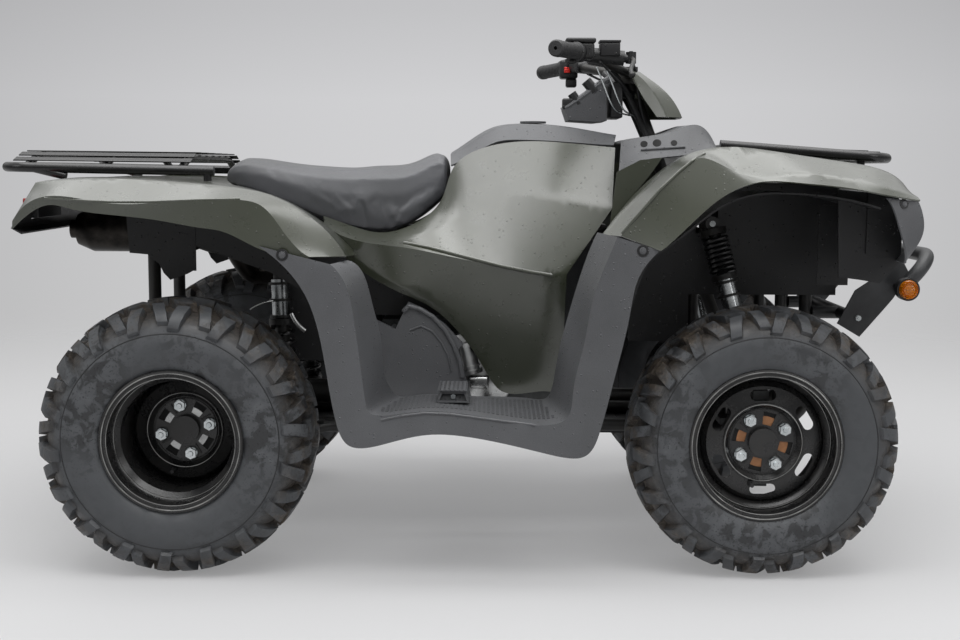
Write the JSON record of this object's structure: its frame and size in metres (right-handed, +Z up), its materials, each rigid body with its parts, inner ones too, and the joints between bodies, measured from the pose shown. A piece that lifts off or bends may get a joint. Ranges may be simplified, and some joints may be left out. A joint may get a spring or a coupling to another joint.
{
  "type": "quad bike",
  "caption": "Utility quad bike with a straddle seat, steering handlebar, front and rear carrying racks, footwells, front bumper and knobbly low-pressure tyres.",
  "frame": {"origin": "on the ground, under the middle of the overall length and width", "axes": "+X forward, +Y to the rider's left, +Z up"},
  "size_m": [2.15, 1.2076, 1.1842],
  "materials": {
    "tyre": "matte",
    "rim_steel": "satin",
    "olive_plastic": "gloss",
    "grey_plastic": "textured",
    "black_plastic": "matte",
    "seat_vinyl": "satin",
    "frame_steel": "satin",
    "rack_steel": "gloss",
    "bumper_steel": "satin",
    "cast_alloy": "satin",
    "cast_case": "matte",
    "exhaust_steel": "matte",
    "zinc_steel": "satin",
    "grip_rubber": "matte",
    "lamp_lens": "gloss",
    "amber_lens": "gloss",
    "red_lens": "gloss",
    "cowl_plastic": "gloss"
  },
  "bodies": {
    "chassis": {"front_fender_right": "olive_plastic", "front_fender_left": "olive_plastic", "hood": "olive_plastic", "rear_fender_right": "olive_plastic", "rear_fender_left": "olive_plastic", "side_cover_right": "olive_plastic", "side_cover_left": "olive_plastic", "fender_tips": "grey_plastic", "rear_deck": "grey_plastic", "tail_panel": "grey_plastic", "tank_strip": "grey_plastic", "engine_covers": "grey_plastic", "floorboard_right": "grey_plastic", "floorboard_left": "grey_plastic", "console": "grey_plastic", "fascia": "grey_plastic", "inner_liners": "black_plastic", "undertray": "black_plastic", "fuel_cap": "black_plastic", "skid_plate": "black_plastic", "seat": "seat_vinyl", "frame": "frame_steel", "front_arms": "frame_steel", "rear_arms": "frame_steel", "front_rack": "rack_steel", "rear_rack": "rack_steel", "bumper": "bumper_steel", "hitch": "bumper_steel", "engine": "cast_alloy", "foot_pegs": "cast_alloy", "front_drive": "cast_case", "rear_drive": "cast_case", "hub_carriers": "cast_case", "exhaust": "exhaust_steel", "front_shocks": "zinc_steel", "rear_shocks": "zinc_steel", "headlights": "lamp_lens", "turn_lamps": "amber_lens", "tail_lamps": "red_lens"},
    "steering": {"stem": "frame_steel", "handlebar": "rack_steel", "grips": "grip_rubber", "controls": "cast_alloy", "meter_pod": "black_plastic", "cowl": "cowl_plastic"},
    "knuckle_right": {"knuckle_right": "cast_case"},
    "tie_rod_right": {"tie_rod_right": "zinc_steel"},
    "wheel_front_right": {"rim_front_right": "rim_steel", "tyre_front_right": "tyre"},
    "wheel_rear_right": {"rim_rear_right": "rim_steel", "tyre_rear_right": "tyre"},
    "knuckle_left": {"knuckle_left": "cast_case"},
    "tie_rod_left": {"tie_rod_left": "zinc_steel"},
    "wheel_front_left": {"rim_front_left": "rim_steel", "tyre_front_left": "tyre"},
    "wheel_rear_left": {"rim_rear_left": "rim_steel", "tyre_rear_left": "tyre"}
  },
  "joints": [
    {"name": "steering_turn", "type": "hinge", "parent": "chassis", "child": "steering", "pos_m": [0.368, 0, 1.106], "axis": [-0.3584, 0, 0.9336], "range_deg": [-36, 36]},
    {"name": "knuckle_right_turn", "type": "hinge", "parent": "chassis", "child": "knuckle_right", "pos_m": [0.626, -0.385, 0.29385], "axis": [0, 0, 1], "range_deg": [-36, 36]},
    {"name": "tie_rod_right_turn", "type": "hinge", "parent": "knuckle_right", "child": "tie_rod_right", "pos_m": [0.551, -0.385, 0.353], "axis": [0, 0, 1], "range_deg": [-36, 36]},
    {"name": "wheel_front_right_spin", "type": "hinge", "parent": "knuckle_right", "child": "wheel_front_right", "pos_m": [0.626, -0.44, 0.29385], "axis": [0, 1, 0], "continuous": true},
    {"name": "wheel_rear_right_spin", "type": "hinge", "parent": "chassis", "child": "wheel_rear_right", "pos_m": [-0.642, -0.44, 0.29987], "axis": [0, 1, 0], "continuous": true},
    {"name": "knuckle_left_turn", "type": "hinge", "parent": "chassis", "child": "knuckle_left", "pos_m": [0.626, 0.385, 0.29385], "axis": [0, 0, 1], "range_deg": [-36, 36]},
    {"name": "tie_rod_left_turn", "type": "hinge", "parent": "knuckle_left", "child": "tie_rod_left", "pos_m": [0.551, 0.385, 0.353], "axis": [0, 0, 1], "range_deg": [-36, 36]},
    {"name": "wheel_front_left_spin", "type": "hinge", "parent": "knuckle_left", "child": "wheel_front_left", "pos_m": [0.626, 0.44, 0.29385], "axis": [0, 1, 0], "continuous": true},
    {"name": "wheel_rear_left_spin", "type": "hinge", "parent": "chassis", "child": "wheel_rear_left", "pos_m": [-0.642, 0.44, 0.29987], "axis": [0, 1, 0], "continuous": true}
  ],
  "couplings": [
    {"joint": "knuckle_right_turn", "follows": "steering_turn", "ratio": 1},
    {"joint": "tie_rod_right_turn", "follows": "steering_turn", "ratio": -1},
    {"joint": "knuckle_left_turn", "follows": "steering_turn", "ratio": 1},
    {"joint": "tie_rod_left_turn", "follows": "steering_turn", "ratio": -1}
  ]
}
